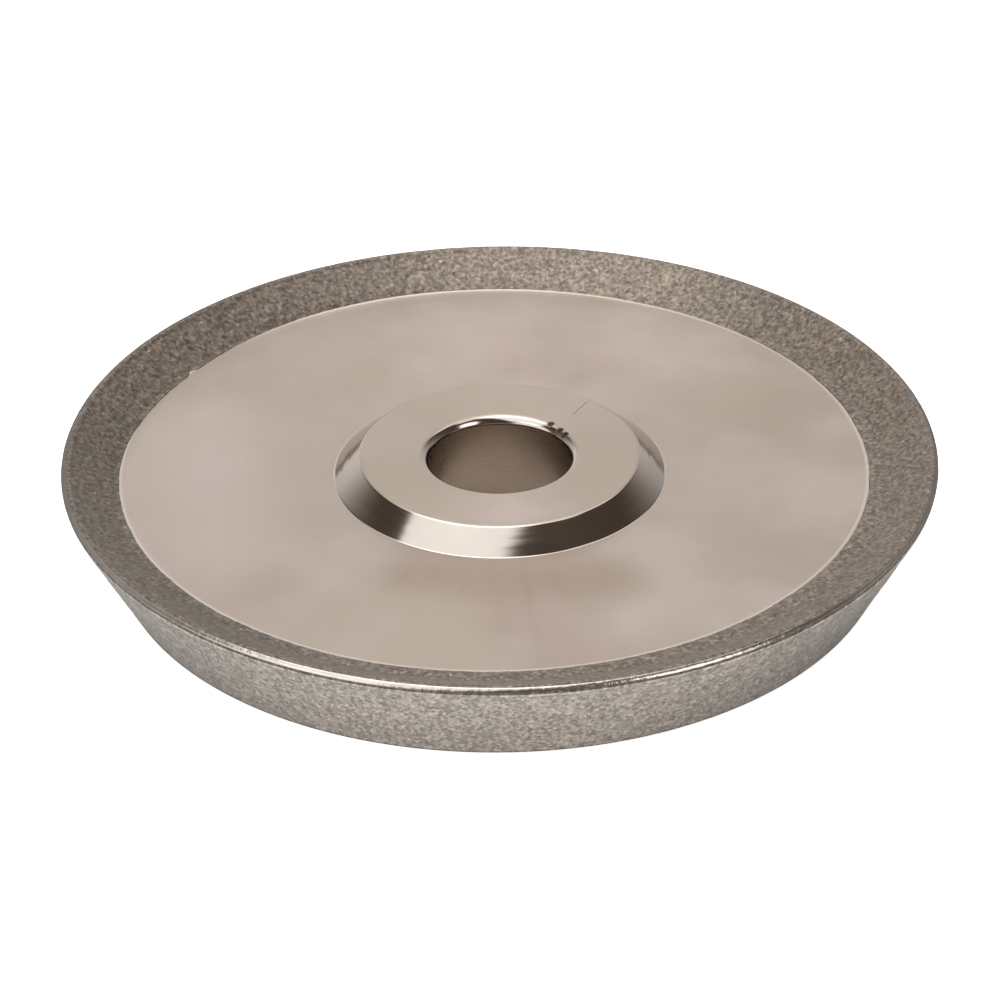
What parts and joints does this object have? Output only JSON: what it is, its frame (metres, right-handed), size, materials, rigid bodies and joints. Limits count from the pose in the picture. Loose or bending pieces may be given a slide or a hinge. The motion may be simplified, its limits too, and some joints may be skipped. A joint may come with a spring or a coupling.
{
  "type": "grinding wheel",
  "caption": "Dished, cone-sided plated grinding wheel with a grit-coated rim and border, a flat steel face and a raised, bevelled hub with a plain bore.",
  "frame": {"origin": "on the bore axis, in the plane of the flat back face", "axes": "+Z along the bore axis, from the back face towards the raised hub"},
  "size_m": [0.078, 0.078, 0.0096],
  "materials": {
    "nickel_plated_steel": "turned steel under satin nickel plating",
    "plated_grit": "fine grit bonded in electroplated nickel"
  },
  "bodies": {
    "root": {"wheel_body": "nickel_plated_steel", "abrasive_layer": "plated_grit"}
  },
  "joints": []
}
